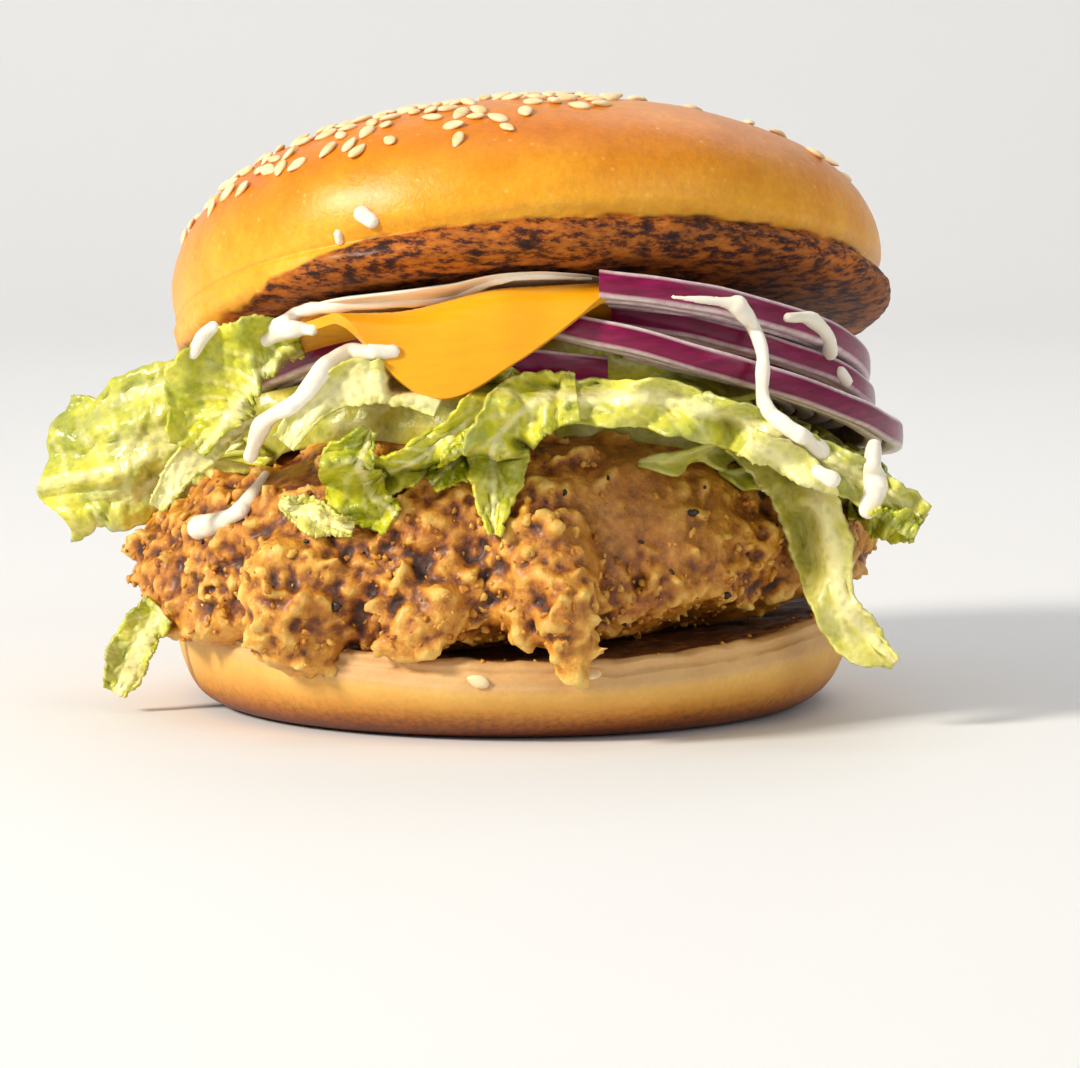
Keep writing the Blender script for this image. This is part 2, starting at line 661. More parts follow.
def makeCrumbs():
    # fine crumbs stuck over the sides of the fillet, and a few fallen on the lower bun's rim
    random.seed(crumbs["seed"])
    mesh = pieces["friedFillet"].data
    faces = [f for f in mesh.polygons if f.normal.z < 0.8 and f.center.z > 13 * mm]
    weights = [f.area * (1 - 0.75 * smoothPatch(f.center)) * (1.5 + 2 * wobble(f.center, 8, 6)) for f in faces]
    places = []
    for face in random.choices(faces, [max(0.0, w) for w in weights], k=crumbs["count"]):
        size = crumbs["sizes"][0] + (crumbs["sizes"][1] - crumbs["sizes"][0]) * random.random() ** 2
        turn = Euler([random.uniform(0, 6.28) for _ in range(3)]).to_matrix().to_4x4()
        shape = Matrix.Diagonal((random.uniform(0.7, 1.3), random.uniform(0.6, 1.2), random.uniform(0.5, 0.9), 1))
        out = face.normal * random.uniform(-0.35, 0.15) * size * mm
        places.append(Matrix.Translation(face.center + out) @ turn @ shape @ Matrix.Scale(size, 4))
    for _ in range(crumbs["fallen"]):
        angle = math.radians(random.uniform(-165, -15))
        reach = random.uniform(46, 51) * mm
        hit = firstHit(Vector((reach * math.cos(angle), reach * math.sin(angle), 0.018)), Vector((0, 0, -1)), ["bunHeel"])
        if hit:
            places.append(Matrix.Translation(hit[0]) @ Matrix.Scale(random.uniform(0.25, 0.6), 4))
    made = scatter("crustCrumbs", noduleModel(0.8), places)
    each = len(made.data.vertices) // len(places)
    paint(made, "ridge", np.repeat([random.uniform(0.45, 0.9) for _ in places], each))
    paint(made, "even", [0.0] * len(made.data.vertices))
    made.data.materials.append(crustMaterial())
    finishPiece(made, "crustCrumbs")
    print("crumbs made")


def crustMaterial():
    made, tree, shader = newMaterial("friedCrust", Roughness=0.42)
    shader.inputs["Subsurface Weight"].default_value = 0.05
    shader.inputs["Subsurface Radius"].default_value = (0.003, 0.0012, 0.0005)
    shader.inputs["Coat Weight"].default_value = 0.22
    shader.inputs["Coat Roughness"].default_value = 0.3
    uneven = maths(tree, "MULTIPLY_ADD", noiseOf(tree, 1.3, 5, 0.7), 0.7)
    uneven.node.inputs[2].default_value = -0.36
    level = maths(tree, "ADD", painted(tree, "ridge"), uneven)
    tone = ramp(tree, level, (0.12, (0.05, 0.011, 0.001)), (0.34, (0.25, 0.070, 0.005)),
                (0.53, (0.54, 0.21, 0.012)), (0.74, (0.73, 0.36, 0.04)), (0.95, (0.85, 0.55, 0.13)))
    paleTone = ramp(tree, level, (0.2, (0.22, 0.072, 0.005)), (0.5, (0.52, 0.22, 0.024)),
                    (0.8, (0.70, 0.39, 0.08)))
    tone = mix(tree, maths(tree, "MULTIPLY", painted(tree, "even"), 0.7), tone, paleTone)
    patches = ramp(tree, noiseOf(tree, 14, 3, 0.5), (0.35, (0.82, 0.64, 0.42)), (0.6, (1.06, 1.05, 0.98)))
    tone = mix(tree, 0.8, tone, patches, "MULTIPLY")
    specks = ramp(tree, cellsOf(tree, 2.7), (0.05, 0.9), (0.11, 0.0))
    specks = maths(tree, "MULTIPLY", specks, ramp(tree, noiseOf(tree, 5), (0.5, 0.0), (0.56, 1.0)))
    colourOf(tree, shader, mix(tree, specks, tone, (0.05, 0.018, 0.006)))
    bumps(tree, shader, (noiseOf(tree, 0.6, 5, 0.7), 0.85, 0.35), (cellsOf(tree, 1.3), 0.5, 0.5))
    return made


# Pepper flecks and a whole peppercorn on the fillet, at places in the front view

pepper = {"spots": [(-25.7, 20.0, 1.0), (27.2, 33.0, 0.7), (32.2, 20.3, 0.7), (8.2, 36.8, 0.55), (19.5, 29, 0.4),
                    (24.0, 24.6, 0.45), (-46.0, 27.5, 0.45), (-30.0, 29.4, 0.4), (35.5, 26.0, 0.4), (14.5, 38.5, 0.4),
                    (-14.0, 26.0, 0.35), (40.0, 30.0, 0.4), (29.0, 36.5, 0.35), (17.0, 17.0, 0.4)]}


def makePepper():
    places = []
    for x, z, size in pepper["spots"]:
        hit = firstHit(Vector((x * mm, -0.2, z * mm)), Vector((0, 1, 0)), ["friedFillet"])
        if hit:
            turn = Euler((x, z, x + z)).to_matrix().to_4x4()
            places.append(Matrix.Translation(hit[0] + Vector((0, -0.15 * size * mm, 0))) @ turn @ Matrix.Scale(size, 4))
    made = scatter("pepperBits", noduleModel(0.7), places)
    made.data.materials.append(pepperMaterial())
    finishPiece(made, "pepperBits")
    print("pepper made")


def pepperMaterial():
    made, tree, shader = newMaterial("blackPepper", Roughness=0.5)
    tone = ramp(tree, noiseOf(tree, 0.5, 2, 0.5), (0.4, (0.01, 0.006, 0.004)), (0.7, (0.06, 0.03, 0.015)))
    colourOf(tree, shader, tone)
    return made


# Onion: each slice is a nest of ring walls on a sloping plane

def plane(x0, y0, z0, alongX, alongY):
    return lambda x, y: z0 + alongX * (x - x0) + alongY * (y - y0)


onions = {
    "onion_top_right": {"centre": (18, -10), "radii": (37.0, 33.6, 30.6, 27.8, 25.0), "arc": (-96, 62),
                        "height": 4.0, "under": plane(18, -10, 54.8, -0.133, -0.285)},
    "onion_second_right": {"centre": (25.5, -9), "radii": (30.5, 28.6), "arc": (-108, 70), "height": 3.5,
                           "under": plane(26, -9, 50.9, -0.2, -0.27)},
    "onion_inner_right": {"centre": (26, -9), "radii": (26.0, 23.2, 20.4, 17.6), "arc": (-114, 66), "height": 4.2,
                          "under": plane(26, -9, 48.5, -0.19, -0.24)},
    "onion_lowest_right": {"centre": (22, -8), "radii": (38.0, 34.9), "arc": (-120, 58), "height": 4.0,
                           "under": plane(22, -8, 49.0, -0.26, -0.19)},
    "onion_front": {"centre": (-1, -9), "radii": (33.5, 30.4), "arc": (-122, -60), "height": 4.6,
                    "under": plane(8, -41, 52.5, -0.02, -0.3)},
    "onion_left": {"centre": (-5, -3), "radii": (36.0, 32.8, 29.8), "arc": (66, 246), "height": 4.0,
                   "under": lambda x, y: underCrown(x, y, 8.35)},
}
onionWall = 2.7


def ringWall(outer, height, arc, order):
    # an uneven rounded section, spun part of the way round
    inner = outer - onionWall
    section = [(outer - 0.5, 0), (outer - 0.1, 0.35), (outer, 0.9), (outer + 0.06, height * 0.5),
               (outer, height - 0.9), (outer - 0.1, height - 0.35), (outer - 0.5, height),
               (outer - 1.3, height - 0.05), (inner + 0.4, height - 0.02), (inner, height - 0.35),
               (inner - 0.05, height * 0.5), (inner, 0.35), (inner + 0.4, 0.02), (outer - 1.3, 0.06)]
    deselectAll()
    bpy.ops.mesh.primitive_plane_add(size=mm)
    made = bpy.context.object
    bpy.ops.object.mode_set(mode="EDIT")
    bpy.ops.mesh.select_all(action="SELECT")
    bpy.ops.mesh.merge(type="CENTER")
    bpy.ops.transform.translate(value=(section[0][0] * mm, 0, section[0][1] * mm))
    for here, following in zip(section, section[1:]):
        step = ((following[0] - here[0]) * mm, 0, (following[1] - here[1]) * mm)
        bpy.ops.mesh.extrude_region_move(TRANSFORM_OT_translate={"value": step})
    bpy.ops.mesh.select_all(action="SELECT")
    bpy.ops.mesh.edge_face_add()
    bpy.ops.object.mode_set(mode="OBJECT")
    start, end = arc
    made.data.transform(Matrix.Rotation(math.radians(end), 4, "Z"))
    bpy.ops.object.mode_set(mode="EDIT")
    bpy.ops.mesh.select_all(action="SELECT")
    steps = max(20, round((end - start) / 2.2))
    bpy.ops.mesh.spin(steps=steps, angle=math.radians(end - start), center=(0, 0, 0), axis=(0, 0, 1))
    bpy.ops.mesh.select_all(action="SELECT")
    bpy.ops.mesh.remove_doubles(threshold=0.000005)
    bpy.ops.mesh.select_all(action="DESELECT")
    bpy.ops.mesh.select_non_manifold()
    bpy.ops.mesh.fill_holes(sides=0)
    bpy.ops.mesh.select_all(action="SELECT")
    bpy.ops.mesh.normals_make_consistent(inside=False)
    bpy.ops.object.mode_set(mode="OBJECT")
    placeAtOrigin(made)
    skin = []
    for vertex in made.data.vertices:
        reach = math.hypot(vertex.co.x, vertex.co.y) / mm
        rim = smoothStep(0.1, 0.7, min(vertex.co.z / mm, height - vertex.co.z / mm))
        outside = smoothStep(outer - 0.75, outer - 0.12, reach) * rim
        insideFace = smoothStep(inner + 0.45, inner + 0.05, reach)
        skin.append(max(outside * (1.0 if order == 0 else 0.8), insideFace * 0.45))
    paint(made, "skin", skin)
    return made


def makeOnions():
    material = onionMaterial()
    for nodeName, onion in onions.items():
        walls = []
        for order, outer in enumerate(onion["radii"]):
            slack = 2.5 * math.sin(order * 2.1 + outer)
            walls.append(ringWall(outer, onion["height"] - 0.12 * order, (onion["arc"][0] + slack, onion["arc"][1] - slack), order))
        made = joinAll(walls, nodeName + "Rings")

        def move(p):
            angle = math.atan2(p.y, p.x)
            reach = math.hypot(p.x, p.y) / mm
            bend = 1 + 0.006 * math.sin(4 * angle + onion["radii"][0]) + 0.003 * math.sin(9 * angle + reach * 0.4)
            x = onion["centre"][0] + p.x / mm * bend
            y = onion["centre"][1] + p.y / mm * bend
            sag = 0.3 * wobble(Vector((x, y, reach)) * mm, 9, onion["radii"][0])
            return Vector((x, y, p.z / mm + onion["under"](x, y) + sag)) * mm

        sculpt(made, move)
        smoothShade(made)
        bpy.ops.object.shade_smooth_by_angle(angle=math.radians(55))
        made.data.materials.clear()
        made.data.materials.append(material)
        finishPiece(made, nodeName + "Rings", [nodeName])
    print("onion made")


def onionMaterial():
    made, tree, shader = newMaterial("redOnion", Roughness=0.28)
    shader.inputs["Specular IOR Level"].default_value = 0.3
    shader.inputs["Coat Weight"].default_value = 0.2
    shader.inputs["Coat Roughness"].default_value = 0.12
    shader.inputs["Subsurface Weight"].default_value = 0.06
    shader.inputs["Subsurface Radius"].default_value = (0.003, 0.0015, 0.002)
    streaks = noiseOf(tree, 2.2, 4, 0.6, (0.5, 0.5, 2.5))
    purple = ramp(tree, streaks, (0.35, (0.13, 0.0005, 0.028)), (0.6, (0.22, 0.001, 0.055)), (0.8, (0.36, 0.012, 0.12)))
    flesh = ramp(tree, noiseOf(tree, 1.6, 4, 0.6), (0.3, (0.66, 0.43, 0.49)), (0.6, (0.86, 0.75, 0.74)))
    colourOf(tree, shader, mix(tree, ramp(tree, painted(tree, "skin"), (0.12, 0.0), (0.75, 1.0)), flesh, purple))
    bumps(tree, shader, (streaks, 0.25, 0.2))
    return made


# Cheese and the sauce spread lie against the upper bun's cut face

cheese = {"side": 69.0, "centre": (-6.0, -16.0), "turn": 42.0, "bend": 4.5, "hang": 76.0, "thickness": 1.6,
          "depth": 2.9, "cells": 84}
spread = {"reach": 45.0, "thickness": 1.25, "centre": (-1.0, -1.5), "gap": 0.2}


def makeCheese():
    deselectAll()
    bpy.ops.mesh.primitive_grid_add(x_subdivisions=cheese["cells"], y_subdivisions=cheese["cells"], size=2)
    made = bpy.context.object
    half = cheese["side"] / 2
    turn = Matrix.Rotation(math.radians(cheese["turn"]), 2)
    hang = math.radians(cheese["hang"])

    def move(p):
        s, t = p.x, p.y
        rounding = 1 - 0.10 * (s * t) ** 4 - 0.03 * (s * t) ** 2
        flat = turn @ Vector((s * half * rounding, t * half * rounding))
        x, y = cheese["centre"][0] + flat.x, cheese["centre"][1] + flat.y
        fold = -42.3 - 0.010 * (x + 8) ** 2 * (x < -8) + 0.10 * max(0.0, x)
        over = max(0.0, fold - y)
        bent = min(over, cheese["bend"] * hang) / cheese["bend"]
        straight = max(0.0, over - cheese["bend"] * hang)
        y = max(y, fold) - cheese["bend"] * math.sin(bent) - straight * math.cos(hang)
        drop = cheese["bend"] * (1 - math.cos(bent)) + straight * math.sin(hang)
        y += 0.5 * math.sin(x * 0.23 + 1.2) * smoothStep(0, 7, over) - 0.05 * straight
        lower = 2.4 * smoothStep(0, -18, x) * smoothStep(0, -30, y)
        return Vector((x, y, underCrown(x, max(y, fold), cheese["depth"] + lower) - drop)) * mm

    sculpt(made, move)
    applyModifier(made, "SOLIDIFY", thickness=cheese["thickness"] * mm, offset=0)
    applyModifier(made, "BEVEL", width=0.55 * mm, segments=3, limit_method="ANGLE", angle_limit=math.radians(50))
    applyModifier(made, "SMOOTH", iterations=3, factor=0.4)
    smoothShade(made)
    made.data.materials.append(cheeseMaterial())
    finishPiece(made, "cheeseSlice", ["cheese_slice"])
    print("cheese made")


def cheeseMaterial():
    made, tree, shader = newMaterial("softCheese", Roughness=0.36)
    shader.inputs["Subsurface Weight"].default_value = 0.12
    shader.inputs["Subsurface Radius"].default_value = (0.004, 0.0015, 0.0003)
    shader.inputs["Coat Weight"].default_value = 0.15
    shader.inputs["Coat Roughness"].default_value = 0.3
    tone = ramp(tree, noiseOf(tree, 16, 3, 0.5), (0.3, (0.84, 0.34, 0.002)), (0.7, (0.92, 0.43, 0.006)))
    colourOf(tree, shader, tone)
    bumps(tree, shader, (noiseOf(tree, 6, 2, 0.5, (0.35, 1.0, 2.0)), 0.7, 1.3), (noiseOf(tree, 0.9, 2, 0.5), 0.08, 0.1))
    return made


def makeSpread():
    deselectAll()
    bpy.ops.mesh.primitive_uv_sphere_add(segments=200, ring_count=26, radius=mm)
    made = bpy.context.object

    def move(p):
        p = p / mm
        angle = math.atan2(p.y, p.x)
        wavy = spread["reach"] + 1.6 * math.sin(5 * angle + 0.5) + 1.0 * math.sin(9 * angle + 2)
        wavy += 0.7 * noise.noise(Vector((math.cos(angle), math.sin(angle), 1)) * 9)
        wavy -= 8 * smoothStep(-0.1, 0.6, math.cos(angle)) * smoothStep(0.6, 0.0, math.sin(angle))
        reach = wavy * math.hypot(p.x, p.y) ** 0.5
        x = spread["centre"][0] + reach * math.cos(angle)
        y = spread["centre"][1] + reach * math.sin(angle)
        half = spread["thickness"] / 2
        thick = half * (1 + 0.5 * wobble(Vector((x, y, 0)) * mm, 6))
        lower = 1.1 * smoothStep(0, -18, x) * smoothStep(0, -30, y)
        return Vector((x, y, underCrown(x, y, spread["gap"] + half + lower - p.z * (thick + lower)))) * mm

    sculpt(made, move)
    smoothShade(made)
    made.data.materials.append(sauceMaterial())
    finishPiece(made, "sauceSpread", ["mayo_spread"])
    print("sauce spread made")


sauceMade = []


def sauceMaterial():
    if sauceMade:
        return sauceMade[0]
    made, tree, shader = newMaterial("creamySauce", Roughness=0.22)
    shader.inputs["Subsurface Weight"].default_value = 0.2
    shader.inputs["Subsurface Radius"].default_value = (0.003, 0.002, 0.001)
    shader.inputs["Coat Weight"].default_value = 0.4
    shader.inputs["Coat Roughness"].default_value = 0.08
    tone = ramp(tree, noiseOf(tree, 8, 2, 0.5), (0.3, (0.85, 0.77, 0.60)), (0.7, (0.92, 0.87, 0.76)))
    colourOf(tree, shader, tone)
    bumps(tree, shader, (noiseOf(tree, 2.2, 2, 0.4), 0.15, 0.3))
    sauceMade.append(made)
    return made


# Lettuce: grids laid along a route and slid back until they rest on what is behind them

leaves = {
    "rib_left": {"route": [(-52.5, 33.5), (-49, 39), (-44, 44), (-38, 48)], "widths": (2.4, 4.4, 5.2, 4.6),
                 "cup": 0.8, "ripple": 0.25, "waves": 2, "rib": 0.5, "ribWidth": 0.5, "pale": 1.0, "hang": -37,
                 "crinkle": 0.2},
    "leaf_fold_left": {"route": [(-31, 58), (-38, 57), (-44, 51.5), (-47.5, 42.5)], "widths": (5, 10, 13.5, 6),
                       "cup": 1.6, "ripple": 0.9, "waves": 3, "rib": 0.15, "ribWidth": 0.12, "pale": 0.15, "hang": -37},
    "rib_front": {"route": [(-33, 44.5), (-27, 51.5), (-19, 53.7), (-10.2, 50.1)], "widths": (3.5, 5.5, 6.5, 3.5),
                  "cup": 0.5, "ripple": 0.4, "waves": 2, "rib": 0.6, "ribWidth": 0.4, "pale": 1.0, "crinkle": 0.2},
    "shred_front": {"route": [(0.5, 55.0), (-3.5, 50), (-10, 44.5), (-17.5, 40), (-26, 37.5)],
                    "widths": (3.2, 6.0, 5.2, 6.5, 8.5), "cup": 1.0, "ripple": 0.8, "waves": 3,
                    "rib": 0.5, "ribWidth": 0.08, "pale": 0.1},
    "blade_front": {"route": [(-20.5, 46.5), (-23.5, 41), (-22, 36), (-17, 33)], "widths": (2, 8.5, 8.5, 4.5),
                    "cup": 1.0, "ripple": 0.7, "waves": 2, "rib": 0.3, "ribWidth": 0.1, "pale": 0.1},
    "shred_dark": {"route": [(-2, 46), (-6.5, 42), (-11.5, 38)], "widths": (5.5, 6, 2.5), "cup": 0.6,
                   "ripple": 0.5, "waves": 2, "rib": 0.5, "ribWidth": 0.08, "pale": 0.0},
    "band_right": {"route": [(8, 50), (20, 50.5), (33, 47), (44, 42.5), (53.5, 37.5), (60, 33)],
                   "widths": (5, 7, 7.5, 6.8, 6, 5), "cup": 0.9, "ripple": 1.0, "waves": 6, "rib": 0.4,
                   "ribWidth": 0.22, "pale": 0.4},
    "shred_centre": {"route": [(10, 51), (4, 50), (-1.5, 45), (-2, 38), (-2.2, 31)], "widths": (6, 9, 9.5, 7, 1.6),
                     "cup": 1.4, "ripple": 0.8, "waves": 3, "rib": 0.55, "ribWidth": 0.1, "pale": 0.25},
    "strip_right": {"route": [(34, 44), (41.5, 38.5), (46, 29), (48, 19.5), (52.5, 13.5), (57.5, 10)],
                    "widths": (7, 9, 9, 7.5, 6.8, 1.6), "cup": 1.2, "ripple": 0.7, "waves": 3, "rib": 0.3,
                    "ribWidth": 0.2, "pale": 0.9, "hang": -35, "crinkle": 0.3},
    "frill_right": {"route": [(52, 32), (57, 31), (62, 28.5)], "widths": (6, 8, 5), "cup": 0.8, "ripple": 1.0,
                    "waves": 3, "rib": 0.5, "ribWidth": 0.1, "pale": 0.1, "hang": -18},
    "chip_front": {"route": [(-34, 34.8), (-29.5, 33.2), (-23, 31.5)], "widths": (1.6, 5, 3), "cup": 0.4,
                   "ripple": 0.2, "waves": 1, "rib": 0.5, "ribWidth": 0.3, "pale": 0.75},
    "strip_left_low": {"route": [(-53, 17), (-56.5, 12), (-58.5, 7.5), (-60.5, 3)], "widths": (5.5, 6.4, 6.4, 4),
                       "cup": 0.7, "ripple": 0.4, "waves": 2, "rib": 0.35, "ribWidth": 0.3, "pale": 0.35, "hang": -16, "crinkle": 0.35},
}
bigLeaf = {"route": [(-40, -8, 43), (-51, -10, 41), (-61, -9, 38.5), (-70.5, -5, 36.5)], "widths": (19, 23, 25, 9)}
leafThickness = 0.55
shreds = {"count": 76, "seed": 21, "from": -46, "sweep": 254}


def gridPiece(name, columns, rows):
    deselectAll()
    bpy.ops.mesh.primitive_grid_add(x_subdivisions=columns, y_subdivisions=rows, size=2)
    made = bpy.context.object
    made.name = name
    return made


def neighboursOf(mesh):
    near = [[] for _ in mesh.vertices]
    for edge in mesh.edges:
        a, b = edge.vertices
        near[a].append(b)
        near[b].append(a)
    return near


def settle(rays, near, behind, clearance, rounds=14):
    # how far along its ray each point lies once it rests on what is behind it
    walls = []
    for origin, direction, usual in rays:
        hit = firstHit(origin, direction, behind)
        walls.append(hit[1] - clearance if hit else None)
    depths = [wall if wall is not None and wall < usual + 0.012 else usual
              for wall, (_, _, usual) in zip(walls, rays)]
    for _ in range(rounds):
        fresh = []
        for i, depth in enumerate(depths):
            mean = sum(depths[j] for j in near[i]) / len(near[i])
            value = 0.35 * depth + 0.65 * mean
            if walls[i] is None:
                value = 0.8 * value + 0.2 * rays[i][2]
            else:
                value = min(value, walls[i])
            fresh.append(value)
        depths = fresh
    return depths


def veins(across, share, leaf, seed):
    # 1 on the rib and on the side veins that leave it at a slant
    fromRib = abs((across + 1) / 2 - leaf["rib"])
    rib = smoothStep(leaf["ribWidth"], leaf["ribWidth"] * 0.25, fromRib)
    slant = share * leaf["waves"] * 2.6 - fromRib * 2.4 + 0.3 * math.sin(share * 9 + seed)
    side = smoothStep(0.78, 0.98, math.cos(slant * 2 * math.pi) * 0.5 + 0.5) * smoothStep(0.75, 0.1, fromRib)
    return max(rib, side * 0.55)


def finishLeaf(made, name, replaced):
    applyModifier(made, "SOLIDIFY", thickness=leafThickness * mm, offset=0)
    smoothShade(made)
    made.data.materials.append(leafMaterial())
    finishPiece(made, name, replaced)


def layLeaf(nodeName, leaf, behind, rows=110, columns=24):
    made = gridPiece(nodeName, columns, rows)
    route = [(x, 0, z) for x, z in leaf["route"]]
    widths = [(w, 0, 0) for w in leaf["widths"]]
    hang = leaf.get("hang", -50)
    seed = leaf["route"][0][0]
    rays, rib, pale, lifts = [], [], [], []
    for vertex in made.data.vertices:
        across, share = vertex.co.x, (vertex.co.y + 1) / 2
        here = along(route, share)
        ahead = along(route, min(1, share + 0.02)) - along(route, max(0, share - 0.02))
        side = Vector((ahead.z, 0, -ahead.x)).normalized()
        edgeNoise = noise.noise(Vector((seed + share * 7, across * 1.5, 2)))
        frill = noise.noise(Vector((seed + share * 22, across * 3, 5)))
        crinkle = noise.fractal(Vector((here.x + across * side.x * 4, across * 3.2, here.z + across * side.z * 4)) / 3.4
                                + Vector((seed, 0, 0)), 0.6, 2.1, 4)
        teeth = noise.noise(Vector((seed + share * 60, across * 2, 8)))
        width = max(1.0, along(widths, share).x) * (1 + 0.24 * edgeNoise + 0.12 * frill + 0.07 * teeth)
        point = here + side * across * width / 2
        rays.append((Vector((point.x, -200, point.z)) * mm, Vector((0, 1, 0)), (200 + hang) * mm))
        fold = leaf["cup"] * (across * across)
        wave = leaf["ripple"] * (0.6 + 0.6 * abs(across)) * (1 + math.sin(
            share * leaf["waves"] * 2 * math.pi + across * 1.6 + seed + 1.5 * edgeNoise))
        ridge = 0.4 * veins(across, share, leaf, seed)
        lifts.append((fold + wave + ridge + 0.5 * frill * abs(across) + leaf.get("crinkle", 0.75) * crinkle) * mm)
        rib.append(veins(across, share, leaf, seed))
        pale.append(min(1.0, leaf["pale"] + 0.25 * edgeNoise))
    depths = settle(rays, neighboursOf(made.data), behind, 0.5 * mm)
    for vertex, (origin, direction, _), depth, lift in zip(made.data.vertices, rays, depths, lifts):
        vertex.co = origin + direction * (depth - lift)
    paint(made, "rib", rib)
    paint(made, "pale", pale)
    finishLeaf(made, nodeName + "Leaf", [nodeName])


def makeBigLeaf():
    made = gridPiece("bigLeaf", 44, 70)
    leaf = {"rib": 0.42, "ribWidth": 0.06, "waves": 3.2}
    widths = [(w, 0, 0) for w in bigLeaf["widths"]]
    rib, pale = [], []
    for vertex in made.data.vertices:
        across, share = vertex.co.x, (vertex.co.y + 1) / 2
        here = along(bigLeaf["route"], share)
        tip = smoothStep(0.62, 1.0, share)
        notch = tip * (2.0 * math.sin(across * 6.4 + 0.6) + 1.6 * noise.noise(Vector((across * 4, 3, share * 2))))
        edgeNoise = noise.noise(Vector((share * 6, across * 2, 3)))
        edgeNoise += 0.5 * noise.noise(Vector((share * 17, across, 9))) * abs(across)
        width = along(widths, min(share, 0.82)).x * (1 + 0.10 * edgeNoise)
        fan = 1 + 0.16 * tip * abs(across)
        x = here.x - 2.0 * tip * math.cos(across * 3) + notch * 0.55
        z = here.z + across * width / 2 * fan + 1.2 * math.sin(share * 5 + across)
        flute = 1.5 * math.sin(across * 10 + 1.2 * math.sin(share * 4)) * (0.35 + 0.65 * share)
        y = here.y + flute * 0.75 + 2.6 * across * across - 2.0 * math.sin(share * 3.2 + across * 2)
        y += 0.7 * noise.noise(Vector((share * 12, across * 9, 7))) + 0.5 * noise.noise(Vector((share * 30, across * 24, 7)))
        vertex.co = Vector((x, y, z)) * mm
        stripe = smoothStep(0.55, 0.95, math.sin(across * 10 + 1.2 * math.sin(share * 4)) * 0.5 + 0.5)
        rib.append(max(0.7 * stripe * smoothStep(0.95, 0.35, share), 0.8 * veins(across, share, leaf, 2.0)))
        pale.append(0.2 + 0.3 * (1 - share) + 0.2 * edgeNoise)
    paint(made, "rib", rib)
    paint(made, "pale", pale)
    finishLeaf(made, "bigLeafLeft", ["leaf_big_left"])


def makeBedCore():
    made = copyOfNode("lettuce_bed", "bedCore")
    applyModifier(made, "REMESH", mode="VOXEL", voxel_size=1.2 * mm)
    applyModifier(made, "SMOOTH", iterations=4, factor=0.5)

    def move(p):
        out = Vector((p.x, p.y, 0)).normalized() if p.length else Vector((0, 0, 0))
        folds = abs(wobble(Vector((p.x, p.y, p.z * 2.2)), 6, 3)) * 2.2 + 0.5 * wobble(p, 2.5)
        back = 9.5 * smoothStep(-18, -38, p.y / mm) * smoothStep(58, 50, p.z / mm)
        return p - out * (2.4 - folds) * mm + Vector((0, back, 0)) * mm

    sculpt(made, move)
    bent = relief(made, 8) / mm
    paint(made, "rib", np.clip(bent * 0.9, 0, 0.7))
    paint(made, "pale", [0.25] * len(made.data.vertices))
    smoothShade(made)
    made.data.materials.append(leafMaterial())
    finishPiece(made, "lettuceHeap", ["lettuce_bed"])
    print("lettuce heap made")


def makeShreds():
    # loose strips all round the heap, each slid inwards until it meets the filling
    random.seed(shreds["seed"])
    strips = []
    for i in range(shreds["count"]):
        middle = shreds["from"] + shreds["sweep"] * i / shreds["count"] + random.uniform(-7, 7)
        turn = math.radians(middle)
        outside = Vector((math.cos(turn), math.sin(turn), 0))
        edge = firstHit(outside * 0.2 + Vector((0, 0, 0.036)), -outside, ["lettuceHeap"])
        rim = (edge[0] if edge else outside * 0.05) * 0.94
        top = trees["lettuceHeap"].ray_cast(Vector((rim.x, rim.y, 0.2)), Vector((0, 0, -1)))[0]
        foot = trees["lettuceHeap"].ray_cast(Vector((rim.x, rim.y, -0.1)), Vector((0, 0, 1)))[0]
        low, high = (foot.z / mm + 3, top.z / mm + 0.5) if top else (33, 40)
        level = random.uniform(low, max(low + 1, high))
        spin = random.uniform(16, 34)
        lean = random.uniform(-6, 6)
        width = random.uniform(3.2, 6.2)
        made = gridPiece("shred", 5, 22)
        rays, rib, pale, lifts = [], [], [], []
        ribAt = random.uniform(0.2, 0.8)
        tone = random.uniform(0.05, 0.6)
        for vertex in made.data.vertices:
            across, share = vertex.co.x, (vertex.co.y + 1) / 2
            angle = math.radians(middle + (share - 0.5) * spin)
            curl = noise.noise(Vector((i * 3.1, share * 3, 0)))
            z = level + (share - 0.5) * lean + curl * 2.4 + across * width / 2 * (1 - 0.6 * abs(2 * share - 1) ** 3)
            direction = Vector((-math.cos(angle), -math.sin(angle), 0))
            rays.append((Vector((0, 0, z * mm)) - direction * 0.2, direction, 0.2 - 50 * mm))
            lifts.append((0.3 + 0.9 * abs(curl) + 0.7 * (1 + math.sin(share * 14 + i + across)) * abs(across)
                          + 0.5 * across * across) * mm)
            rib.append(smoothStep(0.25, 0.05, abs((across + 1) / 2 - ribAt)) * 0.7)
            pale.append(tone)
        depths = settle(rays, neighboursOf(made.data), ["lettuceHeap", "friedFillet"], 0.3 * mm, 8)
        for vertex, (origin, direction, _), depth, lift in zip(made.data.vertices, rays, depths, lifts):
            vertex.co = origin + direction * (depth - lift)
        paint(made, "rib", rib)
        paint(made, "pale", pale)
        strips.append(made)
    made = joinAll(strips, "lettuceShreds")
    applyModifier(made, "SOLIDIFY", thickness=leafThickness * mm, offset=0)
    smoothShade(made)
    made.data.materials.append(leafMaterial())
    finishPiece(made, "lettuceShreds")
    print("lettuce shreds made")


leafMade = []


